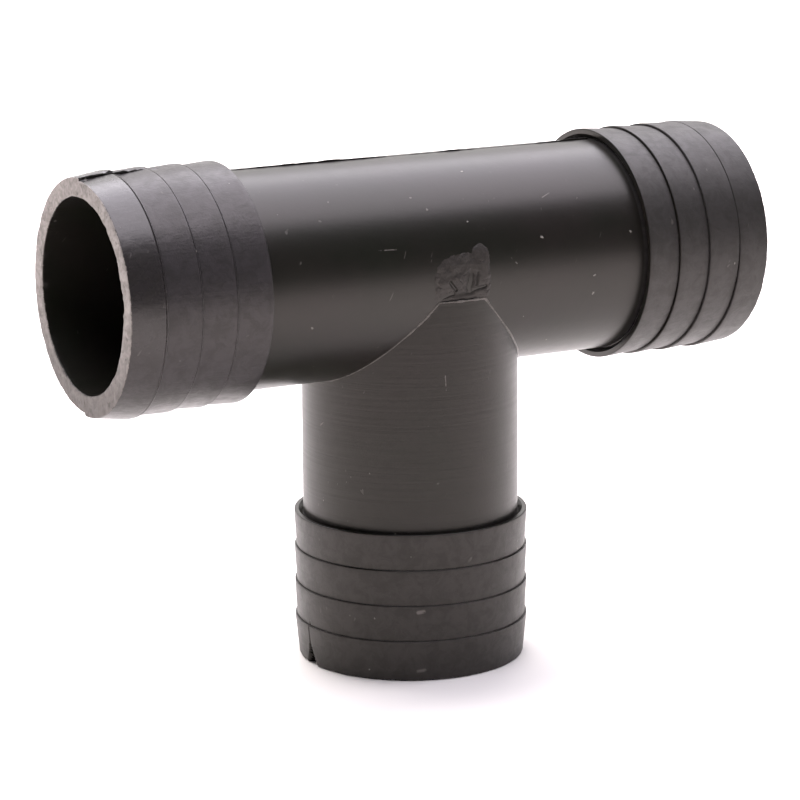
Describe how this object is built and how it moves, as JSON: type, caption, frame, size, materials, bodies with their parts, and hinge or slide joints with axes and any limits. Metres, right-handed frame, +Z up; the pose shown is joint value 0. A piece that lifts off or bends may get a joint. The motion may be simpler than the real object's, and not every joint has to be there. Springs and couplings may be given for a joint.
{
  "type": "barbed tee connector",
  "caption": "Barbed tee for soft irrigation pipe: a straight run with a branch at its middle, ring barbs on every tail and a bore open through all arms.",
  "frame": {"origin": "centre of the branch's mouth face, the lowest plane of the tee", "axes": "+Z up the branch's axis towards the run, +X along the run's axis, +Y away from the side with the gate mark"},
  "size_m": [0.0824, 0.0274, 0.0602],
  "materials": {
    "black_plastic": "satin, as moulded"
  },
  "bodies": {
    "root": {"run_tube": "black_plastic", "branch_tube": "black_plastic", "left_barb_1": "black_plastic", "left_barb_2": "black_plastic", "left_barb_3": "black_plastic", "left_barb_4": "black_plastic", "right_barb_1": "black_plastic", "right_barb_2": "black_plastic", "right_barb_3": "black_plastic", "right_barb_4": "black_plastic", "branch_barb_1": "black_plastic", "branch_barb_2": "black_plastic", "branch_barb_3": "black_plastic", "branch_barb_4": "black_plastic", "gate_mark": "black_plastic", "parting_line": "black_plastic"}
  },
  "joints": []
}
